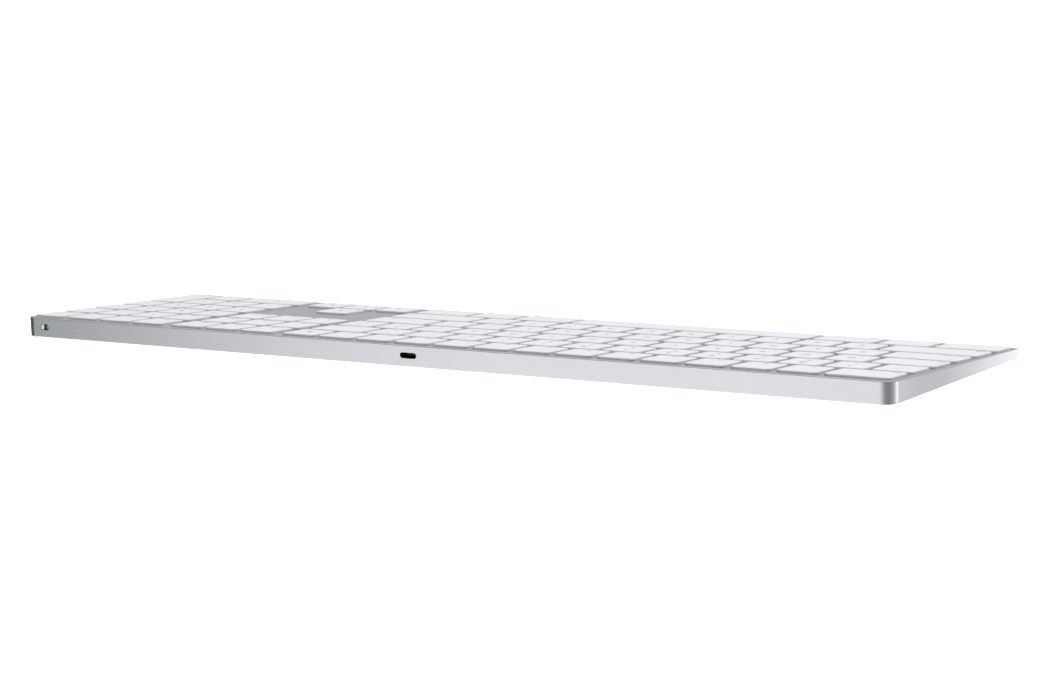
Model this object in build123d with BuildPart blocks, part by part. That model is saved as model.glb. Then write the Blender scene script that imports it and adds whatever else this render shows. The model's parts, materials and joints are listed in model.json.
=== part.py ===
from build123d import *

# A slim full-size wireless keyboard with a numeric keypad: a wedge-shaped aluminium case,
# 109 low keys on scissor frames and rubber domes, and the electronics under the rear rows.
# +X runs to the user's right, +Y away from the user, +Z up. The origin is on the desk,
# under the middle of the case.

import os
from collections import namedtuple
from math import atan2, cos, degrees, radians, sin

# ---- Driving dimensions, in millimetres ----

case_width = 418.7
case_depth = 114.9
case_corner = 4.8
case_edge = 0.4  # rounding where the deck meets the walls
rim_height = 1.2  # bottom rim of the case above the desk
front_height = 4.15  # deck above the desk at the front wall
rear_height = 9.65  # deck above the desk at the rear wall
deck_thickness = 0.8
rim_wall = 1.1  # wall beside the bottom cover
ledge_wall = 2.0  # wall above the ledge that the cover is bonded to

pitch_x = 19.05  # one key unit
pitch_y = 18.35
gap_x = 2.6  # between neighbouring keycaps
gap_y = 2.4
cluster_gap = 3.35  # extra gap before the navigation cluster and before the keypad
main_units = 14.5
navigation_units = 3.0
keypad_units = 4.0
rear_margin = 3.0  # rear keycaps to the rear edge of the case

key_rise = 0.9  # keycap top above the deck
key_travel = 1.0
cap_height = 1.25
cap_roof = 0.65
cap_wall = 0.9
cap_corner = 1.9
cap_edge = 0.3
aperture_clearance = 0.3

membrane_depth = 1.65  # membrane top below the deck's top face
membrane_thickness = 0.2
plate_thickness = 0.3
plate_setback = 0.35  # edge of the base plate to the inside of the case walls

cover_thickness = 0.8
cover_gap = 0.1
adhesive_thickness = 0.15

port_width = 8.0
port_opening = 2.35
port_height = 5.5  # centre of the charging port and of the power switch above the desk
port_depth = 5.9
shell_thickness = 0.25

switch_x = 198.2
switch_slot_width = 4.8
switch_slot_height = 2.6
switch_travel = 2.0
switch_wall = 0.8  # thickness of the rear wall around the switch slot

foot_radius = 5.0
foot_recess = 0.3
foot_spread_x = 193.0
foot_spread_y = 44.0

MAIN, NAVIGATION, KEYPAD = 0, 1, 2

# ---- Frames that several parts share ----

tilt = degrees(atan2(rear_height - front_height, case_depth))
deck = Plane(
    origin=(0, 0, (front_height + rear_height) / 2),
    x_dir=(1, 0, 0),
    z_dir=(0, -sin(radians(tilt)), cos(radians(tilt))),
)
rear_face = Plane(origin=(0, case_depth / 2, 0), x_dir=(-1, 0, 0), z_dir=(0, 1, 0))
membrane_bottom = -membrane_depth - membrane_thickness
plate_bottom = membrane_bottom - plate_thickness
cap_bottom = key_rise - cap_height
roof_underside = key_rise - cap_roof

# ---- The key layout ----

field_width = (main_units + navigation_units + keypad_units) * pitch_x + 2 * cluster_gap
field_left = -field_width / 2
field_rear = case_depth / 2 - rear_margin + gap_y / 2

# Each run of keys: node, row counted from the rear, first column in key units, cluster,
# widths in key units, and how many rows deep the keys are.
Run = namedtuple("Run", "node row column cluster widths rows", defaults=[1])
Key = namedtuple("Key", "node row x y width depth units")

key_runs = [
    Run("key_escape", 0, 0, MAIN, [1.5]),
    Run("function_keys", 0, 1.5, MAIN, [1] * 13),
    Run("upper_function_keys", 0, 14.5, NAVIGATION, [1] * 3),
    Run("upper_function_keys", 0, 17.5, KEYPAD, [1] * 4),
    Run("number_row_keys", 1, 0, MAIN, [1] * 13 + [1.5]),
    Run("navigation_keys", 1, 14.5, NAVIGATION, [1] * 3),
    Run("keypad_clear", 1, 17.5, KEYPAD, [1]),
    Run("keypad_equals", 1, 18.5, KEYPAD, [1]),
    Run("keypad_divide", 1, 19.5, KEYPAD, [1]),
    Run("keypad_multiply", 1, 20.5, KEYPAD, [1]),
    Run("upper_letter_keys", 2, 0, MAIN, [1.5] + [1] * 13),
    Run("navigation_keys", 2, 14.5, NAVIGATION, [1] * 3),
    Run("keypad_7", 2, 17.5, KEYPAD, [1]),
    Run("keypad_8", 2, 18.5, KEYPAD, [1]),
    Run("keypad_9", 2, 19.5, KEYPAD, [1]),
    Run("keypad_minus", 2, 20.5, KEYPAD, [1]),
    Run("key_caps_lock", 3, 0, MAIN, [1.75]),
    Run("home_letter_keys", 3, 1.75, MAIN, [1] * 11),
    Run("key_return", 3, 12.75, MAIN, [1.75]),
    Run("keypad_4", 3, 17.5, KEYPAD, [1]),
    Run("keypad_5", 3, 18.5, KEYPAD, [1]),
    Run("keypad_6", 3, 19.5, KEYPAD, [1]),
    Run("keypad_plus", 3, 20.5, KEYPAD, [1]),
    Run("key_left_shift", 4, 0, MAIN, [2.25]),
    Run("lower_letter_keys", 4, 2.25, MAIN, [1] * 10),
    Run("key_right_shift", 4, 12.25, MAIN, [2.25]),
    Run("key_up", 4, 15.5, NAVIGATION, [1]),
    Run("keypad_1", 4, 17.5, KEYPAD, [1]),
    Run("keypad_2", 4, 18.5, KEYPAD, [1]),
    Run("keypad_3", 4, 19.5, KEYPAD, [1]),
    Run("keypad_enter", 4, 20.5, KEYPAD, [1], 2),
    Run("modifier_keys", 5, 0, MAIN, [1.5, 1.25, 1.5]),
    Run("key_space", 5, 4.25, MAIN, [6]),
    Run("modifier_keys", 5, 10.25, MAIN, [1.5, 1.25, 1.5]),
    Run("key_left", 5, 14.5, NAVIGATION, [1]),
    Run("key_down", 5, 15.5, NAVIGATION, [1]),
    Run("key_right", 5, 16.5, NAVIGATION, [1]),
    Run("keypad_0", 5, 17.5, KEYPAD, [2]),
    Run("keypad_point", 5, 19.5, KEYPAD, [1]),
]


def lay_out_keys(runs):
    """Every key of the runs, with its centre and size on the deck."""
    keys = []
    for run in runs:
        column = run.column
        for units in run.widths:
            x = field_left + (column + units / 2) * pitch_x + run.cluster * cluster_gap
            y = field_rear - (run.row + run.rows / 2) * pitch_y
            width = units * pitch_x - gap_x
            depth = run.rows * pitch_y - gap_y
            keys.append(Key(run.node, run.row, x, y, width, depth, max(units, run.rows)))
            column += units
    return keys


keys = lay_out_keys(key_runs)
key_nodes = list(dict.fromkeys(run.node for run in key_runs))


def web_y(row):
    """Middle of the web of deck in front of a row of keys."""
    return field_rear - (row + 1) * pitch_y


# Screws go up through the base plate into bosses under the webs between the rows.
screw_spots = [
    (-186 + 41.3 * column, web_y(row)) for row in (0, 2, 4) for column in range(10)
]


def save(part, name):
    part.label = name
    export_step(part, f"parts/{name}.step")


os.makedirs("parts", exist_ok=True)

# ---- Case ----

boss_radius = 0.85
pilot_radius = 0.5
slider_width = 9.0
slider_height = 3.0
pocket_width = slider_width + switch_travel + 1.0
pocket_height = slider_height + 0.4

with BuildPart() as cavity:
    with BuildSketch(Plane.XY.offset(rim_height)):
        RectangleRounded(
            case_width - 2 * ledge_wall, case_depth - 2 * ledge_wall, case_corner - ledge_wall
        )
    extrude(amount=rear_height)
    split(bisect_by=deck.offset(-deck_thickness), keep=Keep.BOTTOM)
    with BuildSketch(Plane.XY.offset(rim_height)):
        RectangleRounded(
            case_width - 2 * rim_wall, case_depth - 2 * rim_wall, case_corner - rim_wall
        )
    extrude(amount=cover_thickness + adhesive_thickness)

with BuildPart() as top_case:
    with BuildSketch(Plane.XY.offset(rim_height)):
        RectangleRounded(case_width, case_depth, case_corner)
    extrude(amount=rear_height)
    split(bisect_by=deck, keep=Keep.BOTTOM)
    fillet(top_case.faces().filter_by(deck).edges(), case_edge)
    add(cavity.part, mode=Mode.SUBTRACT)
    with BuildSketch(deck.offset(membrane_bottom)):
        with Locations(*screw_spots):
            Circle(boss_radius)
    extrude(amount=-membrane_bottom - deck_thickness / 2)
    with BuildSketch(deck.offset(membrane_bottom)):
        with Locations(*screw_spots):
            Circle(pilot_radius)
    extrude(amount=-membrane_bottom - deck_thickness, mode=Mode.SUBTRACT)
    with BuildSketch(deck.offset(deck_thickness)):
        for key in keys:
            with Locations((key.x, key.y)):
                RectangleRounded(
                    key.width + 2 * aperture_clearance,
                    key.depth + 2 * aperture_clearance,
                    cap_corner + aperture_clearance,
                )
    extrude(amount=-2.5 * deck_thickness, mode=Mode.SUBTRACT)
    with BuildSketch(rear_face):
        with Locations((0, port_height)):
            SlotOverall(port_width, port_opening)
        with Locations((-switch_x, port_height)):
            RectangleRounded(switch_slot_width, switch_slot_height, 0.7)
    extrude(amount=-1.5 * ledge_wall, mode=Mode.SUBTRACT)
    with BuildSketch(rear_face.offset(-switch_wall)):
        with Locations((switch_travel / 2 - switch_x, port_height)):
            RectangleRounded(pocket_width, pocket_height, 0.5)
    extrude(amount=-1.5 * ledge_wall, mode=Mode.SUBTRACT)
save(top_case.part, "top_case")

cover_corner = case_corner - rim_wall - cover_gap
cover_width = case_width - 2 * (rim_wall + cover_gap)
cover_depth = case_depth - 2 * (rim_wall + cover_gap)
foot_spots = [
    (x, y) for x in (-foot_spread_x, foot_spread_x) for y in (-foot_spread_y, foot_spread_y)
]

with BuildPart() as bottom_cover:
    with BuildSketch(Plane.XY.offset(rim_height)):
        RectangleRounded(cover_width, cover_depth, cover_corner)
    extrude(amount=cover_thickness)
    chamfer(bottom_cover.faces().sort_by(Axis.Z)[0].edges(), 0.15)
    with BuildSketch(Plane.XY.offset(rim_height)):
        with Locations(*foot_spots):
            Circle(foot_radius + 0.1)
    extrude(amount=foot_recess, mode=Mode.SUBTRACT)
save(bottom_cover.part, "bottom_cover")

with BuildPart() as cover_adhesive:
    with BuildSketch(Plane.XY.offset(rim_height + cover_thickness)):
        RectangleRounded(cover_width, cover_depth, cover_corner)
        RectangleRounded(
            case_width - 2 * ledge_wall,
            case_depth - 2 * ledge_wall,
            case_corner - ledge_wall,
            mode=Mode.SUBTRACT,
        )
    extrude(amount=adhesive_thickness)
save(cover_adhesive.part, "cover_adhesive")

with BuildPart() as rubber_feet:
    with BuildSketch(Plane.XY):
        with Locations(*foot_spots):
            Circle(foot_radius)
    extrude(amount=rim_height + foot_recess)
    fillet(rubber_feet.faces().group_by(Axis.Z)[0].edges(), 0.4)
save(rubber_feet.part, "rubber_feet")

# ---- Keys ----

scissor_half_length = 4.9  # centre of the frame to the middle of its end bars, along Y
clip_width = 1.8
clip_depth = 0.7
clip_drop = 0.45
clip_y = 6.2

for node in key_nodes:
    own_keys = [key for key in keys if key.node == node]
    with BuildPart() as keycap:
        with BuildSketch(deck.offset(cap_bottom)):
            for key in own_keys:
                with Locations((key.x, key.y)):
                    RectangleRounded(key.width, key.depth, cap_corner)
        extrude(amount=cap_height)
        fillet(keycap.faces().group_by(Axis(deck.origin, deck.z_dir))[-1].edges(), cap_edge)
        with BuildSketch(deck.offset(cap_bottom)):
            for key in own_keys:
                with Locations((key.x, key.y)):
                    RectangleRounded(
                        key.width - 2 * cap_wall, key.depth - 2 * cap_wall, cap_corner - cap_wall
                    )
        extrude(amount=cap_height - cap_roof, mode=Mode.SUBTRACT)
        # Clips under the roof hold the upper bars of the scissor frames.
        with BuildSketch(deck.offset(roof_underside - clip_drop)):
            for key in own_keys:
                with Locations((key.x, key.y)), GridLocations(7, 2 * clip_y, 2, 2):
                    Rectangle(clip_width, clip_depth)
        extrude(amount=clip_drop + cap_roof / 2)
        if node == "key_caps_lock":
            light_spot = (own_keys[0].x - own_keys[0].width / 2 + 3.2, own_keys[0].y + 5)
            with BuildSketch(deck.offset(key_rise)):
                with Locations(light_spot):
                    Circle(0.55)
            extrude(amount=-2 * cap_roof, mode=Mode.SUBTRACT)
    save(keycap.part, node)

with BuildPart() as caps_lock_light:
    with BuildSketch(deck.offset(roof_underside)):
        with Locations(light_spot):
            Circle(0.5)
    extrude(amount=cap_roof - 0.02)
save(caps_lock_light.part, "caps_lock_light")

# ---- Under the keys ----

link_thickness = 0.5
link_bar = 1.0
outer_frame_width = 12.4
outer_frame_depth = 2 * scissor_half_length + link_bar
frame_gap = 0.15
inner_frame_width = outer_frame_width - 2 * link_bar - 2 * frame_gap
mechanism_height = membrane_depth + roof_underside
frame_rise = mechanism_height - link_thickness - 0.2
frame_angle = degrees(atan2(frame_rise, 2 * scissor_half_length))
mechanism_middle = (roof_underside - membrane_depth) / 2
hinge_pin_radius = 0.15


def scissor_frame(width, slant):
    """One link of the scissor: a flat ring, slanted about the axis of its hinge pins."""
    with BuildPart() as frame:
        with BuildSketch(Plane.XY.rotated((slant, 0, 0)).offset(-link_thickness / 2)):
            RectangleRounded(width, outer_frame_depth, 0.4)
            Rectangle(width - 2 * link_bar, outer_frame_depth - 2 * link_bar, mode=Mode.SUBTRACT)
        extrude(amount=link_thickness)
    return frame.part


with BuildPart() as outer_link:
    add(scissor_frame(outer_frame_width, frame_angle))
    with BuildSketch(Plane.YZ):
        Circle(hinge_pin_radius + 0.04)
    extrude(amount=inner_frame_width / 2 + frame_gap + 0.6, both=True, mode=Mode.SUBTRACT)

with BuildPart() as inner_link:
    add(scissor_frame(inner_frame_width, -frame_angle))
    for side in (-1, 1):
        with BuildSketch(Plane.YZ.offset(side * (inner_frame_width / 2 - link_bar / 2))):
            Circle(hinge_pin_radius)
        extrude(amount=side * (link_bar / 2 + frame_gap + 0.5))

dome_radius = 2.7
dome_top_radius = 1.2
dome_height = mechanism_height - 0.05

with BuildPart() as dome:
    with BuildSketch(Plane.XZ):
        with BuildLine():
            Polyline(
                (0, dome_height),
                (dome_top_radius, dome_height),
                (2.1, 0.3),
                (dome_radius, 0.25),
                (dome_radius, 0),
                (1.8, 0),
                (0.9, dome_height - 0.7),
                (0, dome_height - 0.45),
                close=True,
            )
        make_face()
    revolve(axis=Axis.Z)


def at_every_key(height):
    """The place above each key's centre, at that height over the deck's top face."""
    return [deck.location * Location((key.x, key.y, height)) for key in keys]


with BuildPart() as scissor_outer_frames:
    with Locations(*at_every_key(mechanism_middle)):
        add(outer_link.part)
save(scissor_outer_frames.part, "scissor_outer_frames")

with BuildPart() as scissor_inner_frames:
    with Locations(*at_every_key(mechanism_middle)):
        add(inner_link.part)
save(scissor_inner_frames.part, "scissor_inner_frames")

with BuildPart() as rubber_domes:
    with Locations(*at_every_key(-membrane_depth)):
        add(dome.part)
save(rubber_domes.part, "rubber_domes")

# Wire bars keep the wide keys level.
wire_radius = 0.3
bar_inset = 2.4  # arm of the bar to the end of its key
bar_level = -0.55
bar_y = -6.45
upright_bar_x = 6.75
bar_arm = 6.5
bar_end = 1.2
bar_slant = 6.0
bar_bend = 0.9


def stabiliser_bar(length):
    """A U of wire: a long run under the keycap, two arms and two ends turned in."""
    half = length / 2 - bar_inset
    slanted = Plane.XY.rotated((-bar_slant, 0, 0))
    corners = [
        (half - bar_end, bar_arm),
        (half, bar_arm),
        (half, 0),
        (-half, 0),
        (-half, bar_arm),
        (bar_end - half, bar_arm),
    ]
    with BuildPart() as bar:
        with BuildLine(slanted) as route:
            FilletPolyline(*corners, radius=bar_bend)
        with BuildSketch(Plane(origin=route.line @ 0, z_dir=route.line % 0)):
            Circle(wire_radius)
        sweep()
    return bar.part


with BuildPart() as stabiliser_bars:
    for key in keys:
        if key.units < 1.75:
            continue
        if key.depth > key.width:
            spot = Location((key.x + upright_bar_x, key.y, bar_level), (0, 0, 90))
        else:
            spot = Location((key.x, key.y + bar_y, bar_level))
        with Locations(deck.location * spot):
            add(stabiliser_bar(max(key.width, key.depth)))
save(stabiliser_bars.part, "stabiliser_bars")

plate_width = case_width - 2 * (ledge_wall + plate_setback)
plate_depth = case_depth - 2 * (ledge_wall + plate_setback)
tail_x = 65.0
tail_width = 10.0
tail_notch = 1.6

with BuildPart() as switch_membrane:
    with BuildSketch(deck.offset(membrane_bottom)):
        RectangleRounded(plate_width, plate_depth, 2)
        with Locations(*screw_spots):
            Circle(boss_radius + 0.3, mode=Mode.SUBTRACT)
        with Locations((tail_x, plate_depth / 2)):
            Rectangle(tail_width + 2, 2 * tail_notch, mode=Mode.SUBTRACT)
    extrude(amount=membrane_thickness)
save(switch_membrane.part, "switch_membrane")

with BuildPart() as key_base_plate:
    with BuildSketch(deck.offset(plate_bottom)):
        RectangleRounded(plate_width, plate_depth, 2)
        with Locations(*screw_spots):
            Circle(pilot_radius + 0.1, mode=Mode.SUBTRACT)
        with Locations((tail_x, plate_depth / 2)):
            Rectangle(tail_width + 2, 2 * tail_notch + 0.8, mode=Mode.SUBTRACT)
    extrude(amount=plate_thickness)
save(key_base_plate.part, "key_base_plate")

screw_head_radius = 0.9
screw_head_height = 0.3

with BuildPart() as base_plate_screws:
    with BuildSketch(deck.offset(plate_bottom - screw_head_height)):
        with Locations(*screw_spots):
            Circle(screw_head_radius)
    extrude(amount=screw_head_height)
    with BuildSketch(deck.offset(plate_bottom)):
        with Locations(*screw_spots):
            Circle(pilot_radius - 0.05)
    extrude(amount=plate_thickness + 0.8)
    with BuildSketch(deck.offset(plate_bottom - screw_head_height)):
        with Locations(*screw_spots):
            RegularPolygon(0.45, 6)
    extrude(amount=screw_head_height * 0.6, mode=Mode.SUBTRACT)
save(base_plate_screws.part, "base_plate_screws")

# The film's tail folds round the edge of the base plate and runs to the logic board.
board_top = -2.7
board_thickness = 0.8
board_bottom = board_top - board_thickness
tail_thickness = 0.15
tail_level = (plate_bottom + board_top) / 2
film_edge = plate_depth / 2 - tail_notch
board_rear = 49.3
board_front = 21.0
tail_end = board_rear - 4.0
fold = film_edge + 0.7

with BuildPart() as membrane_tail:
    tail_side = deck.from_local_coords((tail_x - tail_width / 2, 0, 0))
    with BuildSketch(Plane(tail_side, deck.y_dir, (1, 0, 0))):
        with BuildLine():
            FilletPolyline(
                (film_edge + tail_thickness / 2, membrane_bottom + membrane_thickness / 2),
                (fold, membrane_bottom + membrane_thickness / 2),
                (fold, tail_level),
                (tail_end + tail_thickness / 2, tail_level),
                radius=0.25,
            )
            offset(amount=tail_thickness / 2, side=Side.BOTH)
        make_face()
    extrude(amount=tail_width)
save(membrane_tail.part, "membrane_tail")

# ---- Electronics, hung under the base plate ----

board_left = -12.0
board_right = 96.0

with BuildPart() as logic_board:
    with BuildSketch(deck.offset(board_bottom)):
        with Locations(((board_left + board_right) / 2, (board_rear + board_front) / 2)):
            RectangleRounded(board_right - board_left, board_rear - board_front, 1.5)
        with Locations((board_left + 4, board_front + 4), (board_right - 4, board_front + 4)):
            Circle(1.1, mode=Mode.SUBTRACT)
    extrude(amount=board_thickness)
save(logic_board.part, "logic_board")

# Packages under the board: width, depth, height, and the centre of each.
packages = [
    (9.0, 9.0, 0.9, 30.0, 34.0),
    (7.0, 7.0, 0.9, 50.0, 36.0),
    (14.0, 12.0, 1.3, 76.0, 33.0),
    (4.0, 4.0, 0.8, 12.0, 40.0),
    (5.0, 3.2, 1.1, 12.0, 29.0),
    (3.2, 2.5, 0.8, 40.0, 26.0),
]

with BuildPart() as board_components:
    for width, depth, height, x, y in packages:
        with BuildSketch(deck.offset(board_bottom - height)):
            with Locations((x, y)):
                Rectangle(width, depth)
        extrude(amount=height)
    # Connectors on the top face take the membrane's tail and the battery's lead.
    with BuildSketch(deck.offset(board_top)):
        with Locations((tail_x, tail_end - 1.0)):
            Rectangle(tail_width + 2, 2.0)
    extrude(amount=tail_level - board_top + tail_thickness / 2)
save(board_components.part, "board_components")

battery_width = 112.0
battery_depth = 33.0
battery_top = -2.5
battery_thickness = 2.7
battery_x = -120.0
battery_y = 31.0

with BuildPart() as battery_pack:
    with BuildSketch(deck.offset(battery_top - battery_thickness)):
        with Locations((battery_x, battery_y)):
            RectangleRounded(battery_width, battery_depth, 2.5)
    extrude(amount=battery_thickness)
    fillet(battery_pack.edges().group_by(Axis(deck.origin, deck.z_dir))[0], 0.8)
    fillet(battery_pack.edges().group_by(Axis(deck.origin, deck.z_dir))[-1], 0.8)
save(battery_pack.part, "battery_pack")

lead_width = 4.0
lead_thickness = 0.2
lead_start = battery_x + battery_width / 2
lead_y = 33.0
lead_low = battery_top - battery_thickness / 2
lead_high = board_bottom - lead_thickness / 2

with BuildPart() as battery_lead:
    lead_side = deck.from_local_coords((0, lead_y + lead_width / 2, 0))
    with BuildSketch(Plane(lead_side, (1, 0, 0), -deck.y_dir)):
        with BuildLine():
            FilletPolyline(
                (lead_start + lead_thickness / 2, lead_low),
                (lead_start + 6, lead_low),
                (lead_start + 12, lead_high),
                (board_left + 5, lead_high),
                radius=2.0,
            )
            offset(amount=lead_thickness / 2, side=Side.BOTH)
        make_face()
    extrude(amount=lead_width)
save(battery_lead.part, "battery_lead")

with BuildPart() as antenna:
    with BuildSketch(Plane.XY.offset(rim_height + cover_thickness)):
        with Locations((135, 40)):
            Rectangle(34, 5)
        with Locations((131, 41)):
            Rectangle(26, 1.4, mode=Mode.SUBTRACT)
    extrude(amount=0.15)
save(antenna.part, "antenna")

# ---- Charging port and power switch, behind the rear wall ----

wall_inside = -ledge_wall  # along the rear face's normal

with BuildPart() as charging_port_shell:
    with BuildSketch(rear_face.offset(wall_inside)):
        with Locations((0, port_height)):
            SlotOverall(port_width + 2 * shell_thickness, port_opening + 2 * shell_thickness)
            SlotOverall(port_width, port_opening, mode=Mode.SUBTRACT)
    extrude(amount=-port_depth)
save(charging_port_shell.part, "charging_port_shell")

tongue_thickness = 0.7
insulator_length = 1.2

with BuildPart() as charging_port_tongue:
    with BuildSketch(rear_face.offset(wall_inside - port_depth)):
        with Locations((0, port_height)):
            SlotOverall(port_width - 0.04, port_opening - 0.04)
    extrude(amount=insulator_length)
    with BuildSketch(rear_face.offset(wall_inside - port_depth + insulator_length)):
        with Locations((0, port_height)):
            RectangleRounded(port_width - 2.0, tongue_thickness, 0.3)
    extrude(amount=port_depth - insulator_length - 0.7)
save(charging_port_tongue.part, "charging_port_tongue")

bracket_thickness = 0.4
bracket_length = 3.6
bracket_half = port_width / 2 + shell_thickness + 0.05
bracket_foot = 3.0
bracket_low = port_height - port_opening / 2 - shell_thickness

with BuildPart() as port_bracket:
    with BuildSketch(rear_face.offset(wall_inside)):
        with BuildLine():
            Polyline(
                (-bracket_half - bracket_foot, bracket_low - 1.2),
                (-bracket_half, bracket_low - 1.2),
                (-bracket_half, bracket_low),
                (bracket_half, bracket_low),
                (bracket_half, bracket_low - 1.2),
                (bracket_half + bracket_foot, bracket_low - 1.2),
                (bracket_half + bracket_foot, bracket_low - 1.2 - bracket_thickness),
                (bracket_half - bracket_thickness, bracket_low - 1.2 - bracket_thickness),
                (bracket_half - bracket_thickness, bracket_low - bracket_thickness),
                (bracket_thickness - bracket_half, bracket_low - bracket_thickness),
                (bracket_thickness - bracket_half, bracket_low - 1.2 - bracket_thickness),
                (-bracket_half - bracket_foot, bracket_low - 1.2 - bracket_thickness),
                close=True,
            )
        make_face()
    extrude(amount=-bracket_length)
save(port_bracket.part, "port_bracket")

slider_gap = 0.1  # behind the wall around the slot
slider_thickness = 0.5
slider_face = -switch_wall - slider_gap
knob_width = 2.1
knob_height = switch_slot_height - 0.4
knob_recess = 0.1
knob_x = switch_x + switch_slot_width / 2 - 0.15 - knob_width / 2
groove_pitch = 0.6
flag_width = 1.2
flag_height = 1.6
flag_recess = 0.2  # the flag's pad is let into the slider
flag_x = switch_x - switch_slot_width / 2 + 0.4 + flag_width / 2

with BuildPart() as power_switch_slider:
    with BuildSketch(rear_face.offset(slider_face - slider_thickness)):
        with Locations((-switch_x, port_height)):
            RectangleRounded(slider_width, slider_height, 0.4)
    extrude(amount=slider_thickness)
    with BuildSketch(rear_face.offset(slider_face)):
        with Locations((-knob_x, port_height)):
            RectangleRounded(knob_width, knob_height, 0.3)
    extrude(amount=-slider_face - knob_recess)
    with BuildSketch(rear_face.offset(-knob_recess)):
        with Locations((-knob_x, port_height)), GridLocations(groove_pitch, 0, 3, 1):
            Rectangle(0.2, knob_height - 0.5)
    extrude(amount=-0.15, mode=Mode.SUBTRACT)
    with BuildSketch(rear_face.offset(slider_face)):
        with Locations((-flag_x, port_height)):
            RectangleRounded(flag_width, flag_height, 0.2)
    extrude(amount=-flag_recess, mode=Mode.SUBTRACT)
save(power_switch_slider.part, "power_switch_slider")

with BuildPart() as power_switch_flag:
    with BuildSketch(rear_face.offset(slider_face - flag_recess)):
        with Locations((-flag_x, port_height)):
            RectangleRounded(flag_width - 0.04, flag_height - 0.04, 0.18)
    extrude(amount=flag_recess)
save(power_switch_flag.part, "power_switch_flag")

housing_depth = 3.2

with BuildPart() as power_switch_housing:
    with BuildSketch(rear_face.offset(slider_face - slider_thickness - 0.05)):
        with Locations((-switch_x, port_height)):
            RectangleRounded(slider_width - 0.6, slider_height - 0.2, 0.3)
    extrude(amount=-housing_depth)
save(power_switch_housing.part, "power_switch_housing")
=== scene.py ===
"""Looks of a slim aluminium keyboard with a numeric keypad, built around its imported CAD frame."""

import json
from math import cos, pi, radians, sin

import bmesh
import bpy
from mathutils import Matrix, Vector

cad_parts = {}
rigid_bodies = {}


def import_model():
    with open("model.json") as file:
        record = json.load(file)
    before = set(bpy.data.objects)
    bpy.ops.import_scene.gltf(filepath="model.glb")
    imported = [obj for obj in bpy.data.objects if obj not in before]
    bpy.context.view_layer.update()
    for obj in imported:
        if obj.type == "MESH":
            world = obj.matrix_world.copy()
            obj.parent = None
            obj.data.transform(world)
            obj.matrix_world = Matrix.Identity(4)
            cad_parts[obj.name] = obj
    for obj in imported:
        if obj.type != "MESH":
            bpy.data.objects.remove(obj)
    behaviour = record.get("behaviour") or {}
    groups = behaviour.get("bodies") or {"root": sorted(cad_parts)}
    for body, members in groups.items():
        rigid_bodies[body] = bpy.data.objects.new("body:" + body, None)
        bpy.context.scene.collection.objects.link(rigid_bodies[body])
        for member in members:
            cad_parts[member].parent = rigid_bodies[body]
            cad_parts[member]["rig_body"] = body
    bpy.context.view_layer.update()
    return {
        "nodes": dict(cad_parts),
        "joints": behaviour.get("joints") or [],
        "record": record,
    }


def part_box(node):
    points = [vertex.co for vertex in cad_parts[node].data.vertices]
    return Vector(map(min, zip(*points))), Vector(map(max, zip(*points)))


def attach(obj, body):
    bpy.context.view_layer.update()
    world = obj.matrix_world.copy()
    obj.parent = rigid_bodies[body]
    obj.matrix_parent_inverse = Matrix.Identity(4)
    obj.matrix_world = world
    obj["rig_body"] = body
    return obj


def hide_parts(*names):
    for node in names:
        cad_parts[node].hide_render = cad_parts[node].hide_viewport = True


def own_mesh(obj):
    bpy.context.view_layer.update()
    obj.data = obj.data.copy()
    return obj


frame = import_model()
nodes = frame["nodes"]
scene = bpy.context.scene
mm = 0.001


# ---- The deck: the sloping face that the keys stand on ----

deck_up = Vector(frame["joints"][0]["axis"]).normalized()
deck_right = Vector((1, 0, 0))
deck_away = deck_up.cross(deck_right)
deck_height = max(vertex.co.dot(deck_up) for vertex in nodes["top_case"].data.vertices)
deck_turn = Matrix((deck_right, deck_away, deck_up)).transposed()
deck_place = Matrix.Translation(deck_up * deck_height) @ deck_turn.to_4x4()
from_deck = deck_place.inverted()


def solids_in(node):
    """The separate solids of a node: each one's points and faces, and its box on the deck."""
    mesh = bmesh.new()
    mesh.from_mesh(nodes[node].data)
    bmesh.ops.remove_doubles(mesh, verts=mesh.verts, dist=0.001 * mm)
    mesh.verts.index_update()
    met = set()
    solids = []
    for start in mesh.verts:
        if start.index in met:
            continue
        met.add(start.index)
        island = [start]
        faces = []
        for vertex in island:
            for face in vertex.link_faces:
                if not face.tag:
                    face.tag = True
                    faces.append(face)
            for edge in vertex.link_edges:
                other = edge.other_vert(vertex)
                if other.index not in met:
                    met.add(other.index)
                    island.append(other)
        number = {vertex.index: i for i, vertex in enumerate(island)}
        spots = [from_deck @ vertex.co for vertex in island]
        low = Vector(min(spot[axis] for spot in spots) for axis in range(3))
        high = Vector(max(spot[axis] for spot in spots) for axis in range(3))
        solids.append({
            "points": [vertex.co.copy() for vertex in island],
            "faces": [[number[vertex.index] for vertex in face.verts] for face in faces],
            "low": low,
            "high": high,
            "middle": (low + high) / 2,
            "size": high - low,
        })
    mesh.free()
    return solids


row_step = 8 * mm  # less than the rows are apart, so that each row has its own number


def key_places(node):
    """The keycaps of a node, rear row first and each row from left to right."""
    return sorted(
        solids_in(node),
        key=lambda cap: (-round(cap["middle"].y / row_step), cap["middle"].x),
    )


# ---- Materials ----


def linear(hex_colour):
    """An sRGB hex colour as the linear RGBA that Blender's sockets take."""
    values = [int(hex_colour[i : i + 2], 16) / 255 for i in (1, 3, 5)]
    return [v / 12.92 if v <= 0.04045 else ((v + 0.055) / 1.055) ** 2.4 for v in values] + [1.0]


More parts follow.
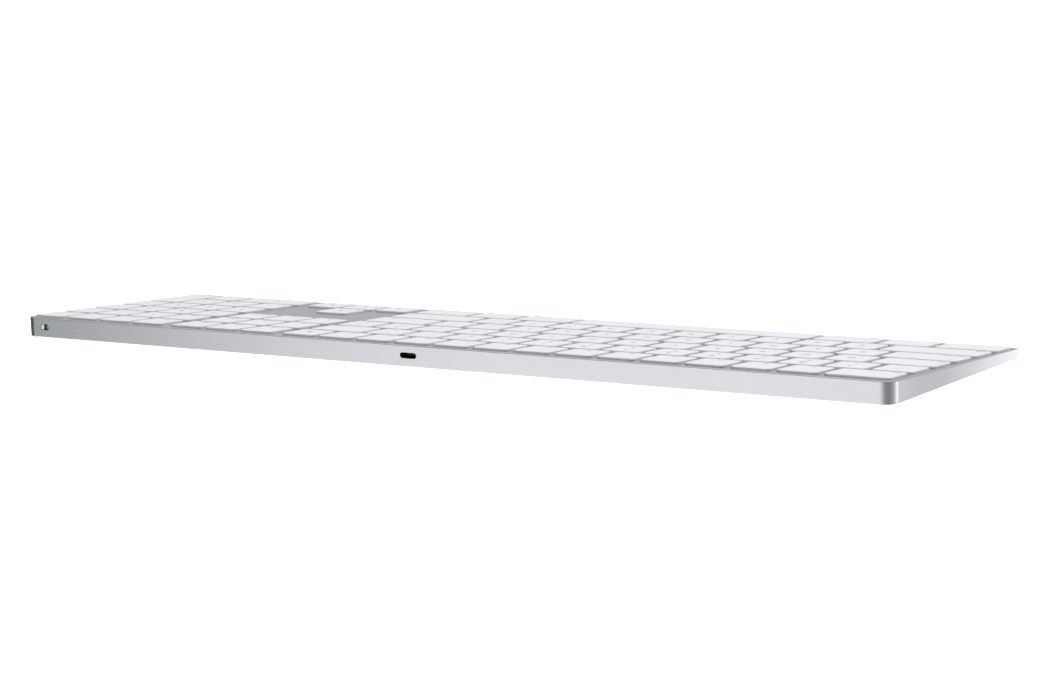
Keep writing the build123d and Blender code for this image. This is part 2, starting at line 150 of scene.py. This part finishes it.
def add_node(tree, kind, inputs=None, **settings):
    """Adds a node. Each input is a plain value, or another node's output socket to link."""
    node = tree.nodes.new(kind)
    for name, value in settings.items():
        setattr(node, name, value)
    for socket, value in (inputs or {}).items():
        if isinstance(value, bpy.types.NodeSocket):
            tree.links.new(value, node.inputs[socket])
        else:
            node.inputs[socket].default_value = value
    return node


bump_strength = 0.5


def surface(name, light, dark, grain_mm, depth_mm, rough, metallic=0.0, blotch_mm=12.0):
    """A solid finish: two close colours in soft blotches, and a fine grain in gloss and bump."""
    material = bpy.data.materials.new(name)
    material.use_nodes = True
    tree = material.node_tree
    shader = tree.nodes["Principled BSDF"]
    place = add_node(tree, "ShaderNodeTexCoord").outputs["Object"]
    blotch = add_node(
        tree, "ShaderNodeTexNoise", {"Vector": place, "Scale": 1 / (blotch_mm * mm), "Detail": 3.0}
    )
    grain = add_node(
        tree, "ShaderNodeTexNoise", {"Vector": place, "Scale": 1 / (grain_mm * mm), "Detail": 2.0}
    )
    colour = add_node(
        tree,
        "ShaderNodeMix",
        {"Factor": blotch.outputs["Fac"], "A": linear(light), "B": linear(dark)},
        data_type="RGBA",
    )
    gloss = add_node(
        tree,
        "ShaderNodeMapRange",
        {"Value": grain.outputs["Fac"], "To Min": rough[0], "To Max": rough[1]},
    )
    bump = add_node(
        tree,
        "ShaderNodeBump",
        {"Height": grain.outputs["Fac"], "Strength": bump_strength, "Distance": depth_mm * mm},
    )
    tree.links.new(colour.outputs["Result"], shader.inputs["Base Color"])
    tree.links.new(gloss.outputs["Result"], shader.inputs["Roughness"])
    tree.links.new(bump.outputs["Normal"], shader.inputs["Normal"])
    shader.inputs["Metallic"].default_value = metallic
    return material


# ---- Camera ----

camera_place = Vector((-0.5857, 0.83465, 0.16167))
camera_bearing = 145.713
camera_tilt = 9.086
camera_roll = -1.899
camera_lens = 85.76  # millimetres, as is the sensor's width
camera_sensor = 36
nearest_seen = 20 * mm


def make_camera():
    data = bpy.data.cameras.new("camera")
    data.lens = camera_lens
    data.sensor_width = camera_sensor
    data.clip_start = nearest_seen
    camera = bpy.data.objects.new("camera", data)
    camera.matrix_world = (
        Matrix.Translation(camera_place)
        @ Matrix.Rotation(radians(-camera_bearing), 4, "Z")
        @ Matrix.Rotation(radians(90 - camera_tilt), 4, "X")
        @ Matrix.Rotation(radians(camera_roll), 4, "Z")
    )
    scene.collection.objects.link(camera)
    scene.camera = camera


make_camera()


# ---- Keycaps: moulded hollow shells with soft edges ----

cap_round = 1.9 * mm
least_round = 0.4 * mm
cap_edge = 0.35 * mm
cap_wall = 0.9 * mm
cap_roof = 0.65 * mm
cap_draft = 0.12 * mm
cap_lip = 0.06 * mm
top_below_frame = 0.02 * mm  # room for the printed legends under the frame's height
edge_steps = 5
corner_steps = 8


def ring(middle, width, depth, radius, height):
    """A rounded rectangle of points on the deck, anticlockwise, at a height over it."""
    points = []
    for turn, side_x, side_y in ((0, 1, 1), (90, -1, 1), (180, -1, -1), (270, 1, -1)):
        centre_x = middle.x + side_x * (width / 2 - radius)
        centre_y = middle.y + side_y * (depth / 2 - radius)
        for step in range(corner_steps + 1):
            angle = radians(turn + 90 * step / corner_steps)
            spot = (centre_x + radius * cos(angle), centre_y + radius * sin(angle), height)
            points.append(deck_place @ Vector(spot))
    return points


def add_rings(mesh, rings):
    """A closed skin through the rings, from the middle of the first to the middle of the last."""
    loops = [[mesh.verts.new(point) for point in points] for points in rings]
    count = len(loops[0])
    mesh.faces.new(reversed(loops[0]))
    for lower, upper in zip(loops, loops[1:]):
        for i in range(count):
            j = (i + 1) % count
            mesh.faces.new((lower[i], lower[j], upper[j], upper[i]))
    mesh.faces.new(loops[-1])


def add_keycap(mesh, key):
    middle, size = key["middle"], key["size"]
    bottom = key["low"].z
    top = key["high"].z - top_below_frame

    def inset(amount, height):
        """The cap's outline drawn in by an amount."""
        radius = max(cap_round - amount, least_round)
        return ring(middle, size.x - 2 * amount, size.y - 2 * amount, radius, height)

    rings = [inset(cap_wall, top - cap_roof), inset(cap_wall, bottom), inset(cap_lip, bottom)]
    rings.append(inset(0, bottom + cap_lip))
    for step in range(edge_steps + 1):
        angle = pi / 2 * step / edge_steps
        rings.append(
            inset(
                cap_draft + cap_edge * (1 - cos(angle)),
                top - cap_edge * (1 - sin(angle)),
            )
        )
    add_rings(mesh, rings)


def finish_piece(name, mesh, material, body, smooth=True):
    """Turns a bmesh into a piece that rides on a body."""
    bmesh.ops.recalc_face_normals(mesh, faces=mesh.faces)
    data = bpy.data.meshes.new(name)
    mesh.to_mesh(data)
    mesh.free()
    for face in data.polygons:
        face.use_smooth = smooth
    data.materials.append(material)
    piece = bpy.data.objects.new(name, data)
    scene.collection.objects.link(piece)
    if smooth:
        shading = piece.modifiers.new("even_shading", "WEIGHTED_NORMAL")
        shading.keep_sharp = True
    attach(piece, body)
    return piece


# ---- Legends: printed on the caps, grey ----

letter_size = 4.3 * mm
pair_size = 3.7 * mm
word_size = 2.5 * mm
print_thickness = 0.012 * mm
pair_lift = 2.6 * mm
word_margin = 1.7 * mm
narrow_key = 17 * mm  # words stand in the middle of a key no wider than this

legends = {
    "key_escape": ["esc"],
    "function_keys": [f"F{number}" for number in range(1, 13)] + ["EJECT"],
    "upper_function_keys": [f"F{number}" for number in range(13, 20)],
    "number_row_keys": ["~`", "!1", "@2", "#3", "$4", "%5", "^6", "&7", "*8", "(9", ")0", "_-", "+="]
    + ["delete"],
    "navigation_keys": ["fn", "home", "page up", "del", "end", "page down"],
    "upper_letter_keys": ["tab", *"QWERTYUIOP", "{[", "}]", "|\\"],
    "key_caps_lock": ["caps lock"],
    "home_letter_keys": [*"ASDFGHJKL", ":;", "\"'"],
    "key_return": ["return"],
    "key_left_shift": ["shift"],
    "lower_letter_keys": [*"ZXCVBNM", "<,", ">.", "?/"],
    "key_right_shift": ["shift"],
    "modifier_keys": ["ctrl", "alt", "meta", "meta", "alt", "ctrl"],
    "key_space": [""],
    "key_up": ["UP"],
    "key_left": ["LEFT"],
    "key_down": ["DOWN"],
    "key_right": ["RIGHT"],
    "keypad_clear": ["clear"],
    "keypad_equals": ["="],
    "keypad_divide": ["/"],
    "keypad_multiply": ["*"],
    "keypad_minus": ["-"],
    "keypad_plus": ["+"],
    "keypad_enter": ["enter"],
    "keypad_point": ["."],
}
legends.update({f"keypad_{digit}": [str(digit)] for digit in range(10)})

arrow_turns = {"UP": 0, "LEFT": 90, "DOWN": 180, "RIGHT": 270}


def print_text(words, size, x, y, align="CENTER"):
    """Flat letters at a place on the deck's plane, as a mesh."""
    curve = bpy.data.curves.new("legend_text", "FONT")
    curve.body = words
    curve.size = size
    curve.align_x = align
    curve.extrude = print_thickness / 2
    curve.resolution_u = 4
    holder = bpy.data.objects.new("legend_text", curve)
    letters = bpy.data.meshes.new_from_object(holder)
    low = min(vertex.co.y for vertex in letters.vertices)
    high = max(vertex.co.y for vertex in letters.vertices)
    letters.transform(Matrix.Translation((x, y - (low + high) / 2, 0)))
    bpy.data.objects.remove(holder)
    bpy.data.curves.remove(curve)
    return letters


def print_shape(outline, x, y, turn=0):
    """A flat printed polygon, given by its corners in millimetres."""
    mesh = bmesh.new()
    around = Matrix.Translation((x, y, 0)) @ Matrix.Rotation(radians(turn), 4, "Z")
    low = [mesh.verts.new(around @ Vector((a * mm, b * mm, -print_thickness / 2))) for a, b in outline]
    high = [mesh.verts.new(around @ Vector((a * mm, b * mm, print_thickness / 2))) for a, b in outline]
    mesh.faces.new(reversed(low))
    mesh.faces.new(high)
    for i in range(len(low)):
        j = (i + 1) % len(low)
        mesh.faces.new((low[i], low[j], high[j], high[i]))
    data = bpy.data.meshes.new("legend_shape")
    mesh.to_mesh(data)
    mesh.free()
    return data


def soft_block(low, high, edge):
    """A block with rounded edges between two corners."""
    mesh = bmesh.new()
    bmesh.ops.create_cube(mesh, size=1.0)
    for vertex in mesh.verts:
        vertex.co = Vector(low[axis] if vertex.co[axis] < 0 else high[axis] for axis in range(3))
    bmesh.ops.bevel(mesh, geom=mesh.edges[:], offset=edge, segments=3, profile=0.5, affect="EDGES")
    return mesh


def join(mesh, other, place=Matrix()):
    """Adds another bmesh's faces to a mesh, after a move."""
    shape = bpy.data.meshes.new("joined")
    other.to_mesh(shape)
    other.free()
    shape.transform(place)
    mesh.from_mesh(shape)
    bpy.data.meshes.remove(shape)


triangle = [(-1.3, -1.0), (1.3, -1.0), (0, 1.2)]
eject_bar = [(-1.3, -1.9), (1.3, -1.9), (1.3, -1.4), (-1.3, -1.4)]


def prints_for(words, key):
    """The prints on one keycap, as meshes on the deck's plane."""
    x, y = key["middle"].x, key["middle"].y
    half_width = key["size"].x / 2
    if words in arrow_turns:
        return [print_shape(triangle, x, y, arrow_turns[words])]
    if words == "EJECT":
        return [print_shape(triangle, x, y), print_shape(eject_bar, x, y)]
    if len(words) == 1:
        return [print_text(words, letter_size, x, y)]
    if len(words) == 2 and not words.isalnum():
        return [
            print_text(words[0], pair_size, x, y + pair_lift),
            print_text(words[1], pair_size, x, y - pair_lift),
        ]
    low = y - key["size"].y / 2 + word_margin + word_size / 3
    if key["size"].x < narrow_key:
        return [print_text(words, word_size, x, low)]
    if x < 0 and words != "delete":
        return [print_text(words, word_size, x - half_width + word_margin, low, "LEFT")]
    return [print_text(words, word_size, x + half_width - word_margin, low, "RIGHT")]


def add_prints(mesh, words, key):
    height = key["high"].z - top_below_frame + print_thickness / 2
    for shape in prints_for(words, key) if words else []:
        shape.transform(deck_place @ Matrix.Translation((0, 0, height)))
        mesh.from_mesh(shape)
        bpy.data.meshes.remove(shape)


# ---- Finishes ----
#
# Grain that is finer than about 0.2 mm on the real surface, such as blasting grit or the texture
# of a mould, is drawn at 0.2 to 0.4 mm, which is as fine as shows at this size.

# Aluminium, blasted with fine beads (about 0.08 mm) and anodised clear: a satin silver grey that
# spreads a reflection softly along the walls and never mirrors.
anodised_aluminium = surface(
    "blasted_anodised_aluminium", "#D8DADD", "#D3D5D9", 0.3, 0.004, (0.21, 0.31), 1.0, 40
)

# Acrylonitrile styrene moulded against a finely etched steel mould: cool white and matt, with a
# faint gloss on the rounded edges.
moulded_key_plastic = surface(
    "etched_moulded_key_plastic", "#E8EAEE", "#E4E6EB", 0.2, 0.003, (0.5, 0.62), 0.0, 20
)

# Pad-printed ink, a little duller than the plastic under it.
legend_ink = surface("pad_printed_grey_ink", "#85888C", "#7C7F83", 0.3, 0.001, (0.5, 0.6))

# Polycarbonate moulded with a spark-eroded texture: pale, pebbled and almost without gloss.
cover_polycarbonate = surface(
    "spark_textured_polycarbonate", "#E9EAEB", "#E2E3E5", 0.35, 0.012, (0.45, 0.6)
)

# Moulded silicone rubber: soft grey, dry and dull.
foot_rubber = surface("moulded_foot_rubber", "#C3C5C7", "#BABCBE", 0.3, 0.01, (0.7, 0.85))

# Moulded silicone, milky and slightly yellow.
dome_silicone = surface("moulded_dome_silicone", "#E6E5E0", "#DDDCD6", 0.4, 0.002, (0.5, 0.6))

# Acetal, moulded smooth: waxy and off-white.
acetal = surface("moulded_acetal", "#EDEDEA", "#E4E4E1", 0.3, 0.002, (0.4, 0.5))

# Rolled steel with bright zinc plating: cool grey, cloudy in patches a few millimetres wide.
zinc_steel = surface("zinc_plated_steel", "#B9BCBF", "#A9ACB0", 0.5, 0.003, (0.3, 0.45), 1.0, 6)

# Cast polyester film: smooth, pale and faintly green.
polyester_film = surface("cast_polyester_film", "#CDD3D2", "#C4CBC9", 0.5, 0.001, (0.2, 0.3))

# Glass-epoxy board under green solder mask: dark, even and half glossy.
solder_mask = surface("green_solder_mask", "#15512F", "#0F4426", 0.4, 0.002, (0.3, 0.4))

# Epoxy moulding compound, black with a fine matt skin.
black_epoxy = surface("black_moulding_epoxy", "#17181A", "#101113", 0.2, 0.002, (0.5, 0.65))

# Aluminium-laminated pouch with a black nylon face: slightly crinkled and soft in gloss.
pouch_film = surface("black_nylon_pouch_film", "#26272A", "#1D1E20", 0.4, 0.004, (0.35, 0.5))

# Copper foil under amber polyimide, etched and laminated: orange brown and smooth.
copper_film = surface("copper_under_polyimide", "#B9722A", "#A86322", 0.4, 0.001, (0.3, 0.4))

# Stamped steel, blackened: almost black, with a thin gleam along its lip.
black_steel = surface("blackened_stamped_steel", "#1B1C1E", "#131416", 0.3, 0.001, (0.4, 0.5), 1.0)

# Glass-filled nylon, moulded black: no light comes back from inside the port.
black_nylon = surface("glass_filled_black_nylon", "#0B0B0C", "#070708", 0.3, 0.001, (0.5, 0.6))

# Flash gold over nickel on the port's contacts: warm and bright.
gold_plate = surface("gold_plated_bronze", "#E2BC6C", "#D8B05E", 0.2, 0.001, (0.2, 0.3), 1.0, 3)

# Moulded plastic, chromed satin on the switch's knob: bright and smooth. It is drawn as white plastic
# without metal, so its even white is a painted reflection of the chrome.
painted_reflection_knob_white = surface("white_plastic_with_painted_chrome_reflection", "#F2F3F5", "#EAEBEE", 0.2, 0.001, (0.18, 0.28))

# Green enamel paint on the flag: strong, even and dull.
green_enamel = surface("green_flag_enamel", "#3DC431", "#34B62B", 0.3, 0.001, (0.45, 0.55))

# Clear acrylic of the light in the caps lock key, unlit: pale green and glossy.
clear_acrylic = surface("clear_acrylic_lens", "#E2ECE2", "#D8E4D8", 0.3, 0.001, (0.15, 0.25))

finish_of_slot = {
    "case_aluminium": anodised_aluminium,
    "cover_plastic": cover_polycarbonate,
    "adhesive_foam": black_epoxy,
    "foot_rubber": foot_rubber,
    "keycap_plastic": moulded_key_plastic,
    "sheet_steel": zinc_steel,
    "screw_steel": zinc_steel,
    "wire_steel": zinc_steel,
    "film_polyester": polyester_film,
    "dome_silicone": dome_silicone,
    "scissor_plastic": acetal,
    "circuit_board": solder_mask,
    "chip_plastic": black_epoxy,
    "battery_wrap": pouch_film,
    "flex_film": copper_film,
    "port_steel": black_steel,
    "port_plastic": black_nylon,
    "switch_plastic": black_nylon,
    "flag_green": green_enamel,
    "light_lens": clear_acrylic,
    "antenna_foil": copper_film,
}

for subpart in frame["record"]["subparts"]:
    for material_slot in nodes[subpart["node"]].material_slots:
        material_slot.material = finish_of_slot[subpart["material_slot"]]


# ---- Keys ----

home_bar_half = Vector((1.9, 0.22, 0.16)) * mm
home_bar_edge = 0.12 * mm
home_bar_below = 5.4 * mm  # from the middle of the key


def add_home_bar(mesh, key):
    """The raised bar by which a finger finds its key."""
    middle = key["middle"]
    centre = Vector((middle.x, middle.y - home_bar_below, key["high"].z - top_below_frame))
    bar = soft_block(centre - home_bar_half, centre + home_bar_half, home_bar_edge)
    join(mesh, bar, deck_place)


for node, words_of_node in legends.items():
    body = nodes[node]["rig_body"]
    keys = key_places(node)
    caps = bmesh.new()
    for key in keys:
        add_keycap(caps, key)
    cap = finish_piece(node + "_cap", caps, moulded_key_plastic, body)
    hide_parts(node)
    prints = bmesh.new()
    for words, key in zip(words_of_node, keys):
        add_prints(prints, words, key)
    if prints.verts:
        finish_piece(node + "_legend", prints, legend_ink, body, smooth=False)

bars = bmesh.new()
for letter, key in zip(legends["home_letter_keys"], key_places("home_letter_keys")):
    if letter in "FJ":
        add_home_bar(bars, key)
finish_piece(
    "home_bars", bars, moulded_key_plastic, nodes["home_letter_keys"]["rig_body"]
)


# ---- Under the keys: domes, scissor frames and stabilisers, gathered into pieces by the keys they lie under ----

mechanisms = {
    "domes": (["rubber_domes"], "dome_silicone"),
    "scissors": (["scissor_outer_frames", "scissor_inner_frames"], "scissor_plastic"),
    "stabilisers": (["stabiliser_bars"], "wire_steel"),
}
keys_of = {node: solids_in(node) for node in legends}


def key_over(solid):
    """The node of the key that a solid lies under."""
    for node, keys in keys_of.items():
        for key in keys:
            aside = solid["middle"] - key["middle"]
            if abs(aside.x) < key["size"].x / 2 and abs(aside.y) < key["size"].y / 2:
                return node
    raise ValueError("a mechanism lies under no key")


for part, (cad_nodes, slot_name) in mechanisms.items():
    under = {node: [] for node in legends}
    for cad_node in cad_nodes:
        for solid in solids_in(cad_node):
            under[key_over(solid)].append(solid)
    for node, solids in under.items():
        if not solids:
            continue
        folding = bmesh.new()
        for solid in solids:
            points = [folding.verts.new(point) for point in solid["points"]]
            for face in solid["faces"]:
                folding.faces.new([points[i] for i in face])
        piece = finish_piece(
            f"{node}_{part}", folding, finish_of_slot[slot_name], "root", smooth=False
        )
        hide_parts(*cad_nodes)
        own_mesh(piece)


# ---- Power switch: a ribbed knob whose white is a painted reflection of its chrome, and a green flag on a black slider ----

slider_low, slider_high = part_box("power_switch_slider")
flag_low, flag_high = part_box("power_switch_flag")
slot_middle = (slider_low + slider_high) / 2
flag_stand = 0.05 * mm  # the flag's front over the black plate's
flag_extra = 0.6 * mm  # painted on towards the knob
knob_sides = (0.75 * mm, 2.25 * mm)  # from the middle of the slot, towards the keypad end
knob_half_height = 1.1 * mm
plate_edge = 0.1 * mm
knob_edge = 0.2 * mm
small_edge = 0.06 * mm
rib_pitch = 0.42 * mm
rib_half = Vector((0.1, 0.1, 0.8)) * mm

plate_high = Vector((slider_high.x, flag_high.y - flag_stand, slider_high.z))
plate = soft_block(slider_low, plate_high, plate_edge)
slider = finish_piece("switch_plate", plate, black_nylon, "power_switch")
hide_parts("power_switch_slider")

knob_front = slider_high.y - rib_half.y
knob = soft_block(
    Vector((slot_middle.x + knob_sides[0], plate_high.y, slot_middle.z - knob_half_height)),
    Vector((slot_middle.x + knob_sides[1], knob_front, slot_middle.z + knob_half_height)),
    knob_edge,
)
for step in (-1, 0, 1):
    rib_x = slot_middle.x + sum(knob_sides) / 2 + step * rib_pitch
    rib = Vector((rib_x, knob_front, slot_middle.z))
    join(knob, soft_block(rib - rib_half, rib + rib_half, small_edge))
# The knob's even white is a painted reflection of its satin chrome, not lit metal.
finish_piece("switch_knob", knob, painted_reflection_knob_white, "power_switch")

flag_corner = Vector((flag_high.x + flag_extra, flag_high.y, flag_high.z))
flag = soft_block(flag_low, flag_corner, small_edge)
flag_piece = finish_piece("switch_flag", flag, green_enamel, "power_switch")
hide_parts("power_switch_flag")


# ---- Charging port: contact strips on both faces of its tongue ----

tongue_low, tongue_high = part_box("charging_port_tongue")
tongue_middle = (tongue_low + tongue_high) / 2
blade_thickness = 0.7 * mm
contact_count = 6
contact_pitch = 0.85 * mm
contact_half = Vector((0.16, 1.3, 0.03)) * mm
contact_edge = 0.02 * mm
contact_from_tip = 0.5 * mm

contacts = bmesh.new()
for i in range(contact_count):
    for face in (-1, 1):
        centre = Vector((
            tongue_middle.x + (i - (contact_count - 1) / 2) * contact_pitch,
            tongue_high.y - contact_from_tip - contact_half.y,
            tongue_middle.z + face * blade_thickness / 2,
        ))
        join(contacts, soft_block(centre - contact_half, centre + contact_half, contact_edge))
finish_piece("port_contacts", contacts, gold_plate, "root")


# ---- Studio ----

# The surroundings, as brightness by compass bearing from the rear of the keyboard, in degrees,
# positive towards the keypad end. The walls mirror what lies below the horizon, a lit table with
# darker gaps in it, and the deck mirrors what lies above.
table_screens = [
    (-180, 0.4), (-160, 0.4), (-151, 1.2), (-144, 1.7), (-126, 1.3), (-106, 0.75), (-88, 0.5),
    (-68, 0.36), (-48, 0.32), (-28, 0.34), (-8, 0.55), (6, 0.8), (16, 1.1), (24, 1.22), (31, 1.22),
    (38, 1.46), (42, 1.3), (45, 0.05), (60, 0.12), (110, 0.15), (179, 0.5),
]
room_screens = [
    (-180, 0.5), (-130, 0.3), (-90, 0.06), (0, 0.06), (90, 0.1), (125, 0.5), (179, 0.6),
]
ceiling_brightness = 0.9
horizon = (-0.03, 0.03)
ceiling_edge = (sin(radians(22)), sin(radians(50)))


def set_greys(ramp, stops):
    """Sets a ramp's stops, each a place from 0 to 1 and a brightness there."""
    elements = ramp.elements
    while len(elements) < len(stops):
        elements.new(1.0)
    for element, (position, brightness) in zip(elements, stops):
        element.position = position
        element.color = (brightness, brightness, brightness, 1)


def screens_round(tree, bearing, screens):
    """The brightness of a list of screens at a bearing, as a colour socket."""
    place = add_node(tree, "ShaderNodeMapRange", {"Value": bearing, "From Min": -pi, "From Max": pi})
    ramp = add_node(tree, "ShaderNodeValToRGB", {"Fac": place.outputs["Result"]})
    stops = [((degrees_round + 180) / 360, brightness) for degrees_round, brightness in screens]
    set_greys(ramp.color_ramp, stops)
    return ramp.outputs["Color"]


def blend_over(tree, rise, edge, below, above):
    """Goes smoothly from one brightness to another as the direction rises past an edge."""
    part = add_node(
        tree,
        "ShaderNodeMapRange",
        {"Value": rise, "From Min": edge[0], "From Max": edge[1]},
        interpolation_type="SMOOTHSTEP",
    )
    mixed = add_node(
        tree,
        "ShaderNodeMix",
        {"Factor": part.outputs["Result"], "A": below, "B": above},
        data_type="RGBA",
    )
    return mixed.outputs["Result"]


def light_surroundings():
    world = bpy.data.worlds.new("studio")
    world.use_nodes = True
    scene.world = world
    tree = world.node_tree
    tree.nodes.clear()
    direction = add_node(tree, "ShaderNodeTexCoord").outputs["Generated"]
    parts = add_node(tree, "ShaderNodeSeparateXYZ", {"Vector": direction})
    bearing = add_node(
        tree,
        "ShaderNodeMath",
        {0: parts.outputs["X"], 1: parts.outputs["Y"]},
        operation="ARCTAN2",
    ).outputs["Value"]
    rise = parts.outputs["Z"]
    table = screens_round(tree, bearing, table_screens)
    room = screens_round(tree, bearing, room_screens)
    ceiling = [ceiling_brightness] * 3 + [1.0]
    walls = blend_over(tree, rise, horizon, table, room)
    colour = blend_over(tree, rise, ceiling_edge, walls, ceiling)
    background = add_node(tree, "ShaderNodeBackground", {"Color": colour})
    add_node(tree, "ShaderNodeOutputWorld", {"Surface": background.outputs["Background"]})


# The soft light over the keys. Metal doesn't mirror it, so the deck stays an even grey.
softbox_towards = Vector((-0.22, -0.05, 0.97)).normalized()
softbox_distance = 1.4
softbox_side = 1.0
softbox_power = 9.8


def hang_softbox():
    data = bpy.data.lights.new("softbox", "AREA")
    data.size = softbox_side
    data.energy = softbox_power
    softbox = bpy.data.objects.new("softbox", data)
    softbox.location = softbox_towards * softbox_distance
    softbox.rotation_euler = softbox_towards.to_track_quat("Z", "Y").to_euler()
    softbox.visible_camera = False
    softbox.visible_glossy = False
    scene.collection.objects.link(softbox)


# An upright card of light past the front corner of the escape end, brighter towards the keyboard.
# Only reflections show it, so it evens the end wall from grey at the rear to white at the front.
card_bearing = radians(-155)
card_away = Vector((sin(card_bearing), cos(card_bearing), 0))
card_across = Vector((card_away.y, -card_away.x, 0))
card_distance = 180 * mm  # from the origin, along its bearing
card_span = (130 * mm, 216 * mm)  # from the origin, across its bearing
card_heights = (-120 * mm, 30 * mm)
card_glow = [(0, 1.8), (0.4, 1.42), (0.75, 0.8), (0.9, 0.32), (1.0, 0.3)]


def stand_side_card():
    # Diffusing film over lamps: it only glows.
    material = bpy.data.materials.new("lit_diffusing_film")
    material.use_nodes = True
    tree = material.node_tree
    tree.nodes.clear()
    place = add_node(tree, "ShaderNodeTexCoord").outputs["Object"]
    along = add_node(
        tree, "ShaderNodeVectorMath", {0: place, 1: card_across}, operation="DOT_PRODUCT"
    )
    fade = add_node(
        tree,
        "ShaderNodeMapRange",
        {"Value": along.outputs["Value"], "From Min": card_span[0], "From Max": card_span[1]},
    )
    ramp = add_node(tree, "ShaderNodeValToRGB", {"Fac": fade.outputs["Result"]})
    set_greys(ramp.color_ramp, card_glow)
    glow = add_node(tree, "ShaderNodeEmission", {"Color": ramp.outputs["Color"]})
    add_node(tree, "ShaderNodeOutputMaterial", {"Surface": glow.outputs["Emission"]})
    low, high = card_heights
    corners = [(card_span[0], low), (card_span[1], low), (card_span[1], high), (card_span[0], high)]
    data = bpy.data.meshes.new("side_card")
    data.from_pydata(
        [
            card_away * card_distance + card_across * across + Vector((0, 0, height))
            for across, height in corners
        ],
        [],
        [(0, 1, 2, 3)],
    )
    data.materials.append(material)
    card = bpy.data.objects.new("side_card", data)
    card.visible_camera = False
    card.visible_diffuse = False
    card.visible_shadow = False
    scene.collection.objects.link(card)


floor_glow = 0.5
floor_radius = 30.0
floor_sides = 96


def lay_floor():
    # Opal acrylic sheet, sanded and lit from below: white all over, with soft faint shadows.
    acrylic = surface("backlit_acrylic_table", "#FFFFFF", "#FCFCFC", 0.5, 0.001, (0.9, 1.0), 0.0, 300)
    shader = acrylic.node_tree.nodes["Principled BSDF"]
    shader.inputs["Emission Color"].default_value = linear("#FFFFFF")
    shader.inputs["Emission Strength"].default_value = floor_glow
    mesh = bmesh.new()
    bmesh.ops.create_circle(mesh, cap_ends=True, segments=floor_sides, radius=floor_radius)
    data = bpy.data.meshes.new("floor")
    mesh.to_mesh(data)
    mesh.free()
    data.materials.append(acrylic)
    floor = bpy.data.objects.new("floor", data)
    floor.visible_glossy = False
    scene.collection.objects.link(floor)


light_surroundings()
hang_softbox()
stand_side_card()
lay_floor()
scene.view_settings.view_transform = "Standard"
